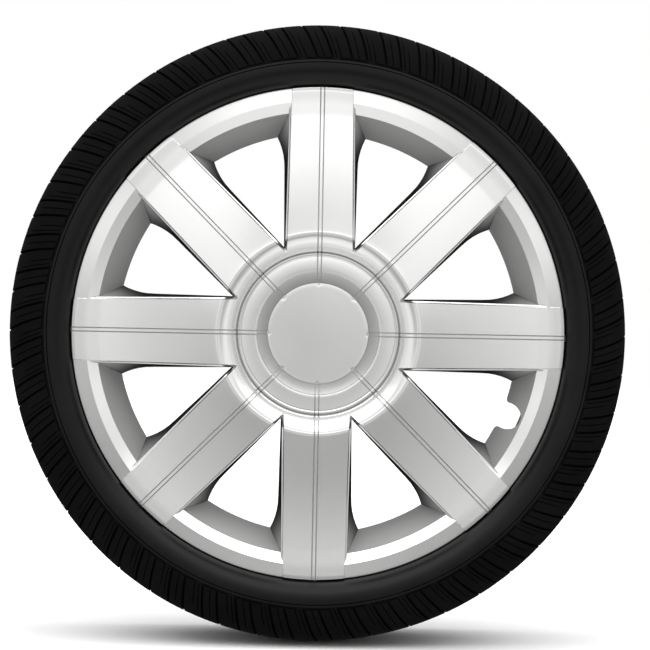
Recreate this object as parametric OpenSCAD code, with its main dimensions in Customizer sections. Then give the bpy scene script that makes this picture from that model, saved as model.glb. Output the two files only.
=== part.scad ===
// Eight-spoke wheel cover seated in a low-profile tyre.
// Every sub-part is drawn with the wheel lying flat, face up: Z runs out of the face and
// Z = 0 is the tyre's middle plane. stand_up() then turns the wheel upright, face to -Y.

/* [Wheel size] */
// Diameter of the tyre's bead seats
bead_d = 405.6; // [330:0.1:490]
// Distance between the outer faces of the two beads
bead_span = 152.4; // [125:0.1:185]
// Widest part of the tyre's cross section
section_w = 190; // [180:1:230]
// Height of the tyre's cross section, from bead seat to tread
section_h = 70.2; // [62:0.1:90]

/* [Tyre build] */
// Thickness of the sidewall at its widest place
wall_t = 7; // [6:0.5:10]
// Thickness of the airtight inner liner
liner_t = 1.6; // [1:0.1:2]
// Thickness of the carcass ply
carcass_t = 1.4; // [1:0.1:2]
// Thickness of one steel belt
belt_t = 1.4; // [1:0.1:1.8]
// Thickness of the nylon cap ply
cap_ply_t = 1; // [0.6:0.1:1.4]
// Width of the outer steel belt
belt_w = 126; // [100:1:140]
// How far the inner belt reaches past the outer one on each side
belt_step = 5; // [2:0.5:8]
// Depth of a tread groove
groove_depth = 6; // [3:0.5:8]
// Width of a tread groove
groove_w = 8; // [5:0.5:12]
// Distance between tread grooves
groove_pitch = 27; // [20:1:30]
// Rubber left between a groove and the cap ply
base_t = 0.7; // [0.5:0.1:2]
// Radius of the steel bead core
core_r = 3.5; // [3:0.1:4]
// Width of the bead, heel to toe
bead_w = 17; // [15:0.5:20]

/* [Cover] */
// How far the cover's edge reaches outside the bead seat
edge_reach = 11.2; // [8:0.1:14]
// Wall thickness of the moulding
skin_t = 2.5; // [2:0.1:3]
// Half width of a spoke
spoke_half_w = 29.9; // [24:0.1:36]
// Angle by which each side of a spoke closes in towards the edge
spoke_taper = 0.65; // [0:0.05:2]
// Radius of the crest round the hub
crest_r = 87.4; // [84:0.1:106]
// Height of the crest above the cover's seat
crest_h = 18.4; // [15:0.1:18.4]
// Radius of the rounding over the crest
crest_round = 11; // [5:0.5:13]
// Length of the level end of each spoke
spoke_end_l = 24.3; // [20:0.1:30]
// Height of the crease where that end begins
crease_h = 6.6; // [5:0.1:8]
// Height of a spoke's face at the edge
edge_h = 6; // [5:0.1:7.5]
// Height of the low band between spokes, at the edge
band_h = 3.4; // [2.8:0.1:4]

/* [Windows] */
// Width of the low band outside a window
band_w = 12; // [9:0.1:15]
// Width of the chamfer inside the band
chamfer_w = 9; // [7:0.1:11]
// Height by which the chamfer falls from the band to the panel
chamfer_drop = 4.8; // [3:0.1:9]
// Width of the panel that falls from the chamfer to the opening
panel_w = 17.3; // [14:0.1:21]
// How far the back of the window walls lies behind the cover's seat
window_depth = 25; // [20:0.5:30]
// Draft angle of the window's side walls
window_draft = 8; // [4:0.5:10]
// Radius of the notch for the tyre valve
valve_r = 11.5; // [8:0.1:14]

/* [Hub] */
// Radius of the centre cap
cap_r = 44.3; // [36:0.1:46]
// Thickness of the centre cap's disc
cap_t = 2.4; // [2:0.1:3]
// Radius of the hole that the cap's fingers plug into
cap_bore_r = 30; // [20:0.1:34]
// Inner radius of the raised hub ring
hub_in_r = 53.5; // [50:0.1:58]
// Outer radius of the raised hub ring
hub_out_r = 68.6; // [64:0.1:70]
// Height of the hub ring's face above the cover's seat
hub_h = 6.8; // [4:0.1:9]
// Depth of the well down to the centre cap
well_depth = 15.6; // [8:0.1:18]
// Width of the groove outside the hub ring
ring_groove_w = 3; // [2:0.1:4]
// Width of the channel down the middle of each spoke
channel_w = 3.4; // [2:0.1:5]
// Depth of the channels and of the ring groove
channel_depth = 0.7; // [0.4:0.1:1.2]

/* [Clips and wire ring] */
// Diameter of the spring wire
wire_d = 3.6; // [3:0.1:4.4]
// How far the wire's centre line lies inside the bead seat
wire_inset = 8.6; // [8.4:0.1:10]
// How far the wire lies behind the cover's seat
wire_back = 15; // [13:0.1:18]
// Free play between the wire and a clip's leg
wire_play = 1.2; // [1:0.1:1.4]
// Length of the sleeve over the wire's two ends
sleeve_l = 26; // [18:1:34]
// Width of a clip
clip_w = 20; // [14:0.5:24]
// Thickness of a clip's leg
clip_t = 2.4; // [2:0.1:2.8]
// Length of a clip's leg behind its pivot
clip_l = 34; // [28:0.5:41]
// Radius of a clip's pivot stubs
pivot_r = 2.4; // [2:0.1:2.6]

/* [Clearances] */
// Gap between pieces that move apart
part_gap = 0.3; // [0.3:0.05:0.6]
// Radial clearance of a running fit
running_gap = 0.06; // [0.03:0.01:0.1]
// Gap between a clip's barb and the bead seat
barb_gap = 0.5; // [0.4:0.05:0.8]

/* [Hidden] */
$fn = 180;
cut = 1;       // how far a cutter runs past what it cuts
far = 60;      // more than the cover's whole depth
round_fn = 48; // sides of a small circle

// Tyre section, in radius and distance from the middle plane
seat_r = bead_d / 2;
tyre_r = seat_r + section_h;
half_w = section_w / 2;
bead_face = bead_span / 2;
wide_share = 0.39; // where the section is widest, as a share of its height
wide_r = seat_r + wide_share * section_h;
edge_r = seat_r + edge_reach;
rubber_gap = 0.6;  // from the cover's edge to the curve of the sidewall
rubber_r = edge_r + rubber_gap;
under_t = liner_t + carcass_t;
crown_t = under_t + 2 * belt_t + cap_ply_t + base_t + groove_depth;
heel = 1.5;     // chamfer at the bead's heel
bulge = 0.62;   // how square the tyre's shoulder is: a smaller power is squarer
t_step = 0.05; // the values of t below are whole numbers of steps
t_shoulder = 0.9;
t_apex = 1.25;
t_face = 1.6;
t_chafer = 1.7;
t_heel = 1.85;
core_below = 1.6; // rubber between the bead core and the seat
core_front = 1.9; // and between the core and the bead's outer face
core_at_r = seat_r + core_r + core_below;
core_at_z = bead_face - core_r - core_front;
apex_tip = 0.15;  // share of the wall that the filler takes at its tip
apex_grow = 0.4;  // and how much more it takes at its foot

// Cover heights, from its seat
seat_z = bead_face + part_gap;
spokes = 8;
step_a = 360 / spokes;
crease_r = edge_r - spoke_end_l;
band_r = edge_r - band_w;
chamfer_r = band_r - chamfer_w;
open_r = chamfer_r - panel_w;
band_rise = 2.6; // how much higher the band's inner edge is
band_in_h = band_h + band_rise;
chamfer_h = band_in_h - chamfer_drop;
window_v = spoke_half_w / sin(step_a / 2);
window_a = step_a / 2 + spoke_taper;
valve_a = -step_a / 2;
cove_r = hub_out_r + ring_groove_w;
cap_top = hub_h - well_depth;
floor_top = cap_top - cap_t - part_gap;
well_r = cap_r + part_gap;
spigot_r = cap_bore_r - running_gap;
finger_l = 5;  // how far the cap's fingers reach behind the moulding
spigot_l = skin_t + part_gap + finger_l;
finger_t = 2;  // wall of the cap's fingers
slit_w = 2;    // slit between two fingers
notch_d = 1.2; // notch in the cap's rim at the end of each channel
foot_w = 8;
brow_l = 12; // from the crest to where the spoke falls most steeply
lean = 45;   // slope of the cove under the crest
spoke_bend = 0.55; // share of a spoke's fall that comes from its bend, not its slope
room_gap = 0.5;    // window walls stay this far under the face
well_edge = 0.5;   // how far the well's outside corner lies under the cap's top
notch_share = 0.4; // how far out the valve notch is, as a share of its radius

// Clips and wire, heights from the cover's seat
wire_r = wire_d / 2;
ring_r = seat_r - wire_inset;
leg_x = ring_r + wire_r + wire_play;
pivot_x = leg_x + clip_t / 2;
pivot_z = -3.2;
eye_t = 1.3;     // plastic round a pivot stub
eye_r = pivot_r + eye_t;
lug_ease = 0.2;  // a lug is this much narrower than the clip's eye
lug_t = 3;
lug_w = 2 * eye_r - lug_ease;
lug_gap = part_gap + 0.1; // a clip swings, so it has a little more room
lug_y = clip_w / 2 + lug_gap;
barb_share = 0.7; // width of the barb, as a share of the clip
barb_w = barb_share * clip_w;
barb_rise = 5; // length of the barb's ramp
barb_nose = 1; // half the flat on the barb's nose
barb_x = sqrt(pow(seat_r - barb_gap, 2) - pow(barb_w / 2, 2));
barb_at = 0.72; // where the barb's nose is, as a share of the leg
barb_z = pivot_z - barb_at * clip_l;
prong_t = 2;
prong_share = 0.6; // width of a prong, as a share of the clip
prong_w = prong_share * clip_w;
prong_gap = 0.6;  // between the wire and the prong in front of it
prong_free = 1;   // and the one behind it
lip_t = 1.6;
lip_h = 1.8;
lip_gap = 1; // between the wire and the lip inside it
prong_x = ring_r - wire_r - lip_t - lip_gap;
post_w = 5;
post_wall = 1.8; // plastic on each side of the wire
post_end = 1.6;  // plastic past the wire
snap_share = 0.8; // mouth of the wire's snap, as a share of the wire
post_gap = 3; // between a lug and the post beside it
post_y = lug_y + lug_t + post_gap;
join_a = valve_a + 180;
join_gap = 4;   // between the wire's two ends
sleeve_t = 0.9; // wall of the sleeve, with its running gap

// ---- shapes of the tyre's section ----

// t runs along the section: 0 at the crown, 1 at the widest place, 2 at the bead's toe
function outer_pt(t) =
    t <= 1 ? [wide_r + (tyre_r - wide_r) * cos(90 * t), half_w * pow(sin(90 * t), bulge)]
    : t <= t_face ? let (a = 90 * (t - 1) / (t_face - 1))
        [wide_r - (wide_r - rubber_r) * sin(a), bead_face + (half_w - bead_face) * cos(a)]
    : t <= t_heel ? let (k = (t - t_face) / (t_heel - t_face))
        [rubber_r - (rubber_r - seat_r - heel) * k, bead_face]
    : let (k = (t - t_heel) / (2 - t_heel)) [seat_r + heel * (1 - k), bead_face - heel * k];

// The inner surface keeps the sidewall's thickness, and thickens to the bead's width at its toe
function inner_pt(t) =
    let (top_r = tyre_r - crown_t, side_z = half_w - wall_t)
    t <= 1 ? [wide_r + (top_r - wide_r) * cos(90 * t), side_z * pow(sin(90 * t), bulge)]
    : let (swell = t <= t_face ? 0 : sin(90 * (t - t_face) / (2 - t_face)))
        [wide_r - (wide_r - seat_r) * (t - 1),
         max(outer_pt(t).y, bead_face) - wall_t - (bead_w - wall_t) * swell];

function wall_at(t) = norm(outer_pt(t) - inner_pt(t));
function layer_pt(t, d) = inner_pt(t) + (outer_pt(t) - inner_pt(t)) * d / wall_at(t);
function steps(a, b) = let (n = round(abs(b - a) / t_step)) [for (i = [0:n]) a + (b - a) * i / n];
function reversed(p) = [for (i = [len(p) - 1:-1:0]) p[i]];

// A line d above the inner surface from t0 to t1, and the tyre's own surface
function layer_line(t0, t1, d) = [for (t = steps(t0, t1)) layer_pt(t, d)];
function outer_line(t0, t1) = [for (t = steps(t0, t1)) outer_pt(t)];

// A line that starts at the crown, carried on over the rear half
function both(p) = concat(reversed(p), [for (i = [1:len(p) - 1]) [p[i].x, -p[i].y]]);

module between(low, high) {
    polygon(concat(low, reversed(high)));
}

module side(front) {
    mirror([0, front ? 0 : 1]) children();
}

// A ply under the tread, w wide, from depth a to depth b
module ply_section(w, a, b) {
    intersection() {
        between(both(layer_line(0, t_shoulder, a)), both(layer_line(0, t_shoulder, b)));
        translate([0, -w / 2]) square([2 * tyre_r, w]);
    }
}

module belt_section(i) {
    low = under_t + i * belt_t;
    ply_section(i == 1 ? belt_w : belt_w + 2 * belt_step, low, low + belt_t);
}

module cap_ply_section() {
    low = under_t + 2 * belt_t;
    ply_section(belt_w, low, low + cap_ply_t);
}

// The bead filler, which thickens from its tip towards the bead core
module apex_section() {
    between(layer_line(t_apex, t_chafer, under_t), [for (t = steps(t_apex, t_chafer))
        let (share = apex_tip + apex_grow * (t - t_apex) / (t_chafer - t_apex))
        layer_pt(t, under_t + share * (wall_at(t) - under_t))]);
}

module core_section() {
    translate([core_at_r, core_at_z]) circle(r = core_r, $fn = round_fn);
}

// The filler as it is built, seated on the bead core
module filler_section() {
    difference() {
        apex_section();
        core_section();
    }
}

// ---- the tyre's pieces ----

module stand_up() {
    rotate([90, 0, 0]) children();
}

module tread() {
    color([0.07, 0.07, 0.08]) stand_up() rotate_extrude() difference() {
        between(both(layer_line(0, t_shoulder, under_t)), both(outer_line(0, t_shoulder)));
        for (i = [0, 1]) belt_section(i);
        cap_ply_section();
        for (k = [-1.5:1:1.5]) translate([tyre_r - groove_depth, k * groove_pitch - groove_w / 2])
            square([groove_depth + cut, groove_w]);
    }
}

module cap_ply() {
    color([0.85, 0.83, 0.76]) stand_up() rotate_extrude() cap_ply_section();
}

module belt_outer() {
    color([0.62, 0.5, 0.3]) stand_up() rotate_extrude() belt_section(1);
}

module belt_inner() {
    color([0.6, 0.48, 0.28]) stand_up() rotate_extrude() belt_section(0);
}

module carcass_ply() {
    color([0.7, 0.66, 0.55]) stand_up() rotate_extrude()
        between(both(layer_line(0, t_heel, liner_t)), both(layer_line(0, t_heel, under_t)));
}

module inner_liner() {
    color([0.1, 0.1, 0.11]) stand_up() rotate_extrude()
        between(both(layer_line(0, t_heel, 0)), both(layer_line(0, t_heel, liner_t)));
}

module sidewall(front) {
    color([0.08, 0.08, 0.09]) stand_up() rotate_extrude() side(front) difference() {
        between(layer_line(t_shoulder, t_chafer, under_t), outer_line(t_shoulder, t_chafer));
        apex_section();
        core_section();
    }
}

module apex(front) {
    color([0.16, 0.15, 0.14]) stand_up() rotate_extrude() side(front) filler_section();
}

module bead_core(front) {
    color([0.66, 0.52, 0.32]) stand_up() rotate_extrude() side(front) core_section();
}

module chafer(front) {
    color([0.06, 0.06, 0.07]) stand_up() rotate_extrude() side(front) difference() {
        union() {
            between(layer_line(t_chafer, t_heel, under_t), outer_line(t_chafer, t_heel));
            between(layer_line(t_heel, 2, 0), outer_line(t_heel, 2));
        }
        core_section();
    }
}

// ---- the cover's moulding ----

// Height of a spoke's face between the crest and the crease
function spoke_z(r) = let (k = (crease_r - r) / (crease_r - crest_r))
    crease_h + (crest_h - crease_h) * ((1 - spoke_bend) * k + spoke_bend * k * k);
function spoke_radii() =
    let (r0 = crest_r + brow_l, n = 8) [for (i = [0:n]) r0 + (crease_r - r0) * i / n];
function crest_pt(a, d = 0) =
    [crest_r - (crest_round - d) * sin(a), crest_h - crest_round + (crest_round - d) * cos(a)];

// Face of the cover from the well's wall to the edge, d below the surface
function face_line(d) = concat(
    [[hub_in_r, hub_h - d], [hub_out_r, hub_h - d],
     [hub_out_r + ring_groove_w / 2, hub_h - channel_depth - d], [cove_r, hub_h - d]],
    [for (a = [lean:-lean / 3:0]) crest_pt(a, d)],
    [for (r = spoke_radii()) [r, spoke_z(r) - d]],
    [[edge_r, edge_h - d]]);

module face_section() {
    polygon(concat(
        [[cap_bore_r, floor_top], [well_r, floor_top], [well_r, cap_top]],
        face_line(0),
        [[edge_r, 0], [edge_r - foot_w, 0], [edge_r - foot_w, edge_h - skin_t]],
        [for (r = reversed(spoke_radii())) [r, spoke_z(r) - skin_t]],
        [for (a = [0:lean / 3:lean]) crest_pt(a, skin_t)],
        [[cove_r + 1, hub_h - skin_t], [hub_in_r + 2, hub_h - skin_t],
         [well_r + skin_t, cap_top - well_edge], [well_r + skin_t, floor_top - skin_t],
         [cap_bore_r, floor_top - skin_t]]));
}

// Everything that lies above the face lowered by d
module above_face(d) {
    rotate_extrude() polygon(concat(
        [[well_r - cut, cap_top - d], [well_r, cap_top - d]], face_line(d),
        [[edge_r + cut, edge_h - d], [edge_r + cut, far], [well_r - cut, far]]));
}

// Where the walls round the windows may be: under the face, above the cover's back
module wall_room() {
    rotate_extrude() polygon(concat(
        face_line(room_gap),
        [[edge_r, -window_depth], [open_r, -window_depth], [cove_r, 0], [hub_in_r, 0]]));
}

// The half space on one side of a window's side wall, moved out by grow
module side_of_window(s, grow) {
    mirror([0, s > 0 ? 0 : 1, 0]) translate([window_v, 0, crest_h / 2]) rotate([0, 0, window_a])
        rotate([-window_draft, 0, 0]) translate([-edge_r, grow - 2 * edge_r, -2 * far])
            cube([3 * edge_r, 2 * edge_r, 4 * far]);
}

module between_spokes(grow) {
    intersection() {
        side_of_window(1, grow);
        side_of_window(-1, grow);
        translate([0, -edge_r, -far]) cube([2 * edge_r, 2 * edge_r, 2 * far]);
    }
}

// The hollow of one window, grown by the wall's thickness for its outside
module window(grow) {
    intersection() {
        between_spokes(grow);
        rotate_extrude() polygon([[0, -far], [open_r + grow, -far],
            [open_r + grow, -window_depth], [chamfer_r + grow, chamfer_h - grow / 2],
            [band_r + grow, band_in_h - grow / 2], [band_r + grow, far], [0, far]]);
    }
}

// What is cut away so that the band between two spokes lies low
module band_relief() {
    intersection() {
        between_spokes(0);
        rotate_extrude() polygon([[band_r - cut, band_in_h], [band_r, band_in_h],
            [edge_r + cut, band_h], [edge_r + cut, far], [band_r - cut, far]]);
    }
}

module at_spokes() {
    for (k = [0:spokes - 1]) rotate([0, 0, k * step_a]) children();
}

module at_windows() {
    for (k = [0:spokes - 1]) rotate([0, 0, (k + 0.5) * step_a]) children();
}

// The two lugs that carry a clip's pivot stubs
module clip_lugs() {
    top = edge_h - skin_t / 2;
    low = pivot_z - eye_r;
    for (s = [-1, 1])
        translate([pivot_x - eye_r, s * (lug_y + lug_t / 2) - lug_t / 2, low])
            cube([lug_w, lug_t, top - low]);
}

// The posts that the wire ring snaps into, one on each side of a clip
module wire_posts() {
    low = -wire_back - wire_r - post_end;
    for (s = [-1, 1])
        translate([ring_r - wire_r - post_wall, s * (post_y + post_w / 2) - post_w / 2, low])
            cube([2 * (wire_r + post_wall), post_w, crease_h - skin_t / 2 - low]);
}

module wire_groove() {
    rotate_extrude() {
        translate([ring_r, -wire_back]) circle(r = wire_r + running_gap, $fn = round_fn);
        translate([ring_r - snap_share * wire_r, -wire_back - far])
            square([2 * snap_share * wire_r, far]);
    }
}

module pivot_bores() {
    at_spokes() translate([pivot_x, 0, pivot_z]) rotate([90, 0, 0])
        cylinder(r = pivot_r + running_gap, h = 2 * (lug_y + lug_t + cut), center = true, $fn = round_fn);
}

module face_shell() {
    color([0.78, 0.78, 0.76]) stand_up() translate([0, 0, seat_z]) difference() {
        union() {
            difference() {
                union() {
                    rotate_extrude() face_section();
                    intersection() {
                        wall_room();
                        at_windows() window(skin_t);
                    }
                }
                at_windows() {
                    window(0);
                    band_relief();
                }
            }
            at_spokes() {
                clip_lugs();
                wire_posts();
            }
        }
        pivot_bores();
        wire_groove();
        rotate([0, 0, valve_a]) translate([open_r + notch_share * valve_r, 0, -far])
            cylinder(r = valve_r, h = 2 * far);
        intersection() {
            at_spokes() translate([well_r / 2, -channel_w / 2, -far])
                cube([edge_r, channel_w, 2 * far]);
            above_face(channel_depth);
        }
    }
}

// The ring of fingers behind the centre cap
module spigot() {
    difference() {
        cylinder(r = spigot_r, h = spigot_l + cut);
        translate([0, 0, -cut]) cylinder(r = spigot_r - finger_t, h = spigot_l + cut);
    }
}

module centre_cap() {
    color([0.72, 0.72, 0.7]) stand_up() translate([0, 0, seat_z + cap_top - cap_t]) difference() {
        union() {
            cylinder(r = cap_r, h = cap_t);
            translate([0, 0, -spigot_l]) spigot();
        }
        at_spokes() {
            translate([cap_r - notch_d, -channel_w / 2, -cut])
                cube([notch_d + cut, channel_w, cap_t + 2 * cut]);
            rotate([0, 0, step_a / 2]) translate([0, -slit_w / 2, -spigot_l - cut])
                cube([cap_bore_r + cut, slit_w, spigot_l - part_gap]);
        }
    }
}

// ---- the wire ring and the clips ----

module wire_ring() {
    gap_a = join_gap / ring_r * 180 / PI;
    color([0.55, 0.56, 0.58]) stand_up() translate([0, 0, seat_z - wire_back])
        rotate([0, 0, join_a + gap_a / 2]) rotate_extrude(angle = 360 - gap_a)
            translate([ring_r, 0]) circle(r = wire_r, $fn = round_fn);
}

module ring_sleeve() {
    sleeve_a = sleeve_l / ring_r * 180 / PI;
    color([0.4, 0.41, 0.43]) stand_up() translate([0, 0, seat_z - wire_back])
        rotate([0, 0, join_a - sleeve_a / 2]) rotate_extrude(angle = sleeve_a)
            translate([ring_r, 0]) difference() {
                circle(r = wire_r + sleeve_t, $fn = round_fn);
                circle(r = wire_r + running_gap / 3, $fn = round_fn);
            }
}

module prong(z) {
    translate([prong_x, -prong_w / 2, z]) cube([leg_x - prong_x + clip_t / 2, prong_w, prong_t]);
}

module clip(n) {
    low_z = -wire_back - wire_r - prong_free - prong_t;
    color([0.2, 0.2, 0.21]) stand_up() translate([0, 0, seat_z]) rotate([0, 0, (n - 1) * step_a]) {
        translate([pivot_x, 0, pivot_z]) rotate([90, 0, 0]) {
            cylinder(r = pivot_r, h = 2 * (lug_y + lug_t), center = true, $fn = round_fn);
            cylinder(r = eye_r, h = clip_w, center = true, $fn = round_fn);
        }
        translate([leg_x, -clip_w / 2, pivot_z - clip_l]) cube([clip_t, clip_w, clip_l]);
        rotate([90, 0, 0]) linear_extrude(height = barb_w, center = true) polygon([
            [leg_x + clip_t / 2, barb_z + barb_rise], [leg_x + clip_t, barb_z + barb_rise],
            [barb_x, barb_z + barb_nose], [barb_x, barb_z - barb_nose],
            [leg_x + clip_t, pivot_z - clip_l], [leg_x + clip_t / 2, pivot_z - clip_l]]);
        prong(-wire_back + wire_r + prong_gap);
        prong(low_z);
        translate([prong_x, -prong_w / 2, low_z]) cube([lip_t, prong_w, prong_t + lip_h]);
    }
}

tread();
cap_ply();
belt_outer();
belt_inner();
carcass_ply();
inner_liner();
sidewall(true);  // sidewall_front
sidewall(false);  // sidewall_rear
apex(true);  // apex_front
apex(false);  // apex_rear
bead_core(true);  // bead_core_front
bead_core(false);  // bead_core_rear
chafer(true);  // chafer_front
chafer(false);  // chafer_rear
face_shell();
centre_cap();
wire_ring();
ring_sleeve();
clip(1);  // clip_1
clip(2);  // clip_2
clip(3);  // clip_3
clip(4);  // clip_4
clip(5);  // clip_5
clip(6);  // clip_6
clip(7);  // clip_7
clip(8);  // clip_8
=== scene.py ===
# %% [markdown]
# # An eight-spoke wheel cover in its tyre
#
# The object is a silver plastic wheel cover, held in a low-profile tyre by eight clips and a
# sprung wire ring. The CAD model gives the sizes and the places where things meet. This script
# keeps the CAD pieces that are right as they are, and builds the ones that are looked at most
# again as finer meshes: the moulded face, the lacquered disc, the tread and both sidewalls.
#
# The wheel stands upright with its face to -Y. Its axis is the Y axis through the origin.

# %% Load the CAD model as the fixed frame
import math

import bmesh
import bpy
from mathutils import Matrix, Quaternion, Vector


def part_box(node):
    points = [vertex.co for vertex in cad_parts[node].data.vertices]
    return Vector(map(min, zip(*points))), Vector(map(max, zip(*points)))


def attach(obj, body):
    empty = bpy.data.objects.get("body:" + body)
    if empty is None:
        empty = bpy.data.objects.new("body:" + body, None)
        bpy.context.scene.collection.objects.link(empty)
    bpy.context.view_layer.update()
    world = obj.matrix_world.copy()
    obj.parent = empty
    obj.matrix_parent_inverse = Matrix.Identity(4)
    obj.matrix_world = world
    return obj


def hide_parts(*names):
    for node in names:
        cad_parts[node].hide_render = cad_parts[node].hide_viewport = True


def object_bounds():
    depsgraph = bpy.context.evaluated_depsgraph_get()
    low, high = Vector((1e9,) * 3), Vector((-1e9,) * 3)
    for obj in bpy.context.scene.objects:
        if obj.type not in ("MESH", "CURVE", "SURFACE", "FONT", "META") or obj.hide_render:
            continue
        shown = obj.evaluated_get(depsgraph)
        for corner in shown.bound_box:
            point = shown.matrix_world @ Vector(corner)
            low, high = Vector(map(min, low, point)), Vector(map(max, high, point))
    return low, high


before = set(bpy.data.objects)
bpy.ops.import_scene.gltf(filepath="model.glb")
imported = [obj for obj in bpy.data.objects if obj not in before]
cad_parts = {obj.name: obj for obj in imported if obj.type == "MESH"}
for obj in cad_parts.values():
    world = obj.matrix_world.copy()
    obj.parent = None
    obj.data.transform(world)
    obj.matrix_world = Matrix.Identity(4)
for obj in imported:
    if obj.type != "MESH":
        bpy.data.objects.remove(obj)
cad_low, cad_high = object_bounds()
print("CAD box in metres:", tuple(round(v, 4) for v in cad_high - cad_low))

# %% [markdown]
# Lengths are written in millimetres, as a drawing has them, and turned to metres in one place.
# The cover is drawn lying flat: x and y across its face, and a height above the seat where it
# rests on the tyre. `upright` stands such a point up, so that the face looks to -Y.

# %% Millimetres, and from lying flat to standing upright
MM = 0.001
TURN = 2 * math.pi
SPOKES = 8
HALF_STEP = math.pi / SPOKES          # from the middle of a spoke to the middle of a window
SEAT = 76.5                           # the cover's seat, in front of the tyre's middle plane


def upright(x, y, height):
    return Vector((x, -(SEAT + height), y)) * MM


def polar(radius, angle, height):
    return upright(radius * math.cos(angle), radius * math.sin(angle), height)


face_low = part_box("face_shell")[0]
print("seat to the highest point of the cover:", round(-face_low.y / MM - SEAT, 2), "mm")

# %% [markdown]
# ## Camera
#
# The wheel is looked at straight on, from far enough away that its circles stay nearly round.
# The camera could be shifted sideways to put the wheel a little left and low in the frame. It is
# aimed instead, because a lens shift stays behind when the camera is moved to another view.

# %% Place the camera
camera_data = bpy.data.cameras.new("camera")
camera_data.sensor_width = 36
camera = bpy.data.objects.new("camera", camera_data)
bpy.context.collection.objects.link(camera)
eye = Vector((-0.021, -2.5825, 0.021))
aim = Vector((0.0058, -0.0825, 0.0076))
gaze = (aim - eye).to_track_quat("-Z", "Y")
camera.location = eye
camera.rotation_mode = "QUATERNION"
camera.rotation_quaternion = gaze @ Quaternion((0, 0, 1), math.radians(1.1))
camera_data.lens = 36 / (0.5642 / (aim - eye).length)
bpy.context.scene.camera = camera
print("lens:", round(camera_data.lens, 1), "mm")

# %% [markdown]
# ## Two helpers for making meshes
#
# Many parts of the cover are patches of surface: a spoke's face, the wall of a window, the band
# at the edge. Each starts as a flat grid, and every corner of the grid is then carried to its
# place. Writing only the rule for the place keeps a patch short, and patches that share a row of
# corners join when the doubles are merged.

# %% A grid of corners carried to their places
def patch(bm, rows, cols, place):
    corners = bmesh.ops.create_grid(bm, x_segments=cols, y_segments=rows, size=0.5)["verts"]
    xs = sorted({round(v.co.x, 5) for v in corners})
    ys = sorted({round(v.co.y, 5) for v in corners})
    for v in corners:
        v.co = place(ys.index(round(v.co.y, 5)), xs.index(round(v.co.x, 5)))
    return corners


test = bmesh.new()
made = patch(test, 3, 2, lambda i, j: Vector((i, j, 0)))
print("a grid of 3 x 2 quads has", len(made), "corners")
test.free()

# %% [markdown]
# The second helper turns a finished bmesh into an object. It rounds the shading over shallow
# edges and keeps it crisp over steep ones, as a moulded part looks.

# %% From bmesh to object
def finish_piece(bm, name, body, materials, crisp=30):
    for face in bm.faces:
        face.smooth = True
    for edge in bm.edges:
        if edge.is_boundary or edge.calc_face_angle(0) > math.radians(crisp):
            edge.smooth = False
    mesh = bpy.data.meshes.new(name)
    bm.to_mesh(mesh)
    bm.free()
    piece = bpy.data.objects.new(name, mesh)
    bpy.context.collection.objects.link(piece)
    for material in materials:
        mesh.materials.append(material)
    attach(piece, body)
    print(name, "has", len(mesh.polygons), "faces")
    return piece


def weld(bm, gap=0.00002):
    bmesh.ops.remove_doubles(bm, verts=bm.verts, dist=gap)
    bmesh.ops.dissolve_degenerate(bm, dist=gap / 2, edges=bm.edges)
    bmesh.ops.recalc_face_normals(bm, faces=bm.faces)


# %% [markdown]
# ## Finishes
#
# Every finish is built from nodes. A small writer keeps each one short: it makes a node, sets
# what is fixed, and links what varies. Patterns read object coordinates, so they are as large
# as on the real thing and stay where they are when the camera moves.

# %% A small writer for node trees
class Finish:
    def __init__(self, name):
        self.material = bpy.data.materials.new(name)
        self.material.use_nodes = True
        self.tree = self.material.node_tree
        self.shader = self.tree.nodes["Principled BSDF"]
        self.place = self.node("ShaderNodeTexCoord").outputs["Object"]

    def node(self, kind, **fixed):
        made = self.tree.nodes.new(kind)
        for key, value in fixed.items():
            setattr(made, key, value)
        return made

    def link(self, source, target):
        self.tree.links.new(source, target)

    def set(self, **values):
        for key, value in values.items():
            self.shader.inputs[key.replace("_", " ")].default_value = value

    def noise(self, scale, detail=3.0, rough=0.5, vector=None):
        made = self.node("ShaderNodeTexNoise")
        made.inputs["Scale"].default_value = scale
        made.inputs["Detail"].default_value = detail
        made.inputs["Roughness"].default_value = rough
        self.link(vector or self.place, made.inputs["Vector"])
        return made.outputs["Fac"]

    def spread(self, value, low, high, start=0.0, end=1.0):
        made = self.node("ShaderNodeMapRange")
        limits = {"From Min": start, "From Max": end, "To Min": low, "To Max": high}
        for key, number in limits.items():
            made.inputs[key].default_value = number
        self.link(value, made.inputs["Value"])
        return made.outputs["Result"]

    def mix(self, share, first, second):
        made = self.node("ShaderNodeMix", data_type="RGBA")
        self.link(share, made.inputs["Factor"])
        for socket, value in ((made.inputs[6], first), (made.inputs[7], second)):
            if isinstance(value, tuple):
                socket.default_value = (*value, 1)
            else:
                self.link(value, socket)
        return made.outputs[2]

    def bump(self, height, depth, distance=0.001, under=None):
        made = self.node("ShaderNodeBump")
        made.inputs["Strength"].default_value = depth
        made.inputs["Distance"].default_value = distance
        self.link(height, made.inputs["Height"])
        if under:
            self.link(under, made.inputs["Normal"])
        self.link(made.outputs["Normal"], self.shader.inputs["Normal"])
        return made.outputs["Normal"]
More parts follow.
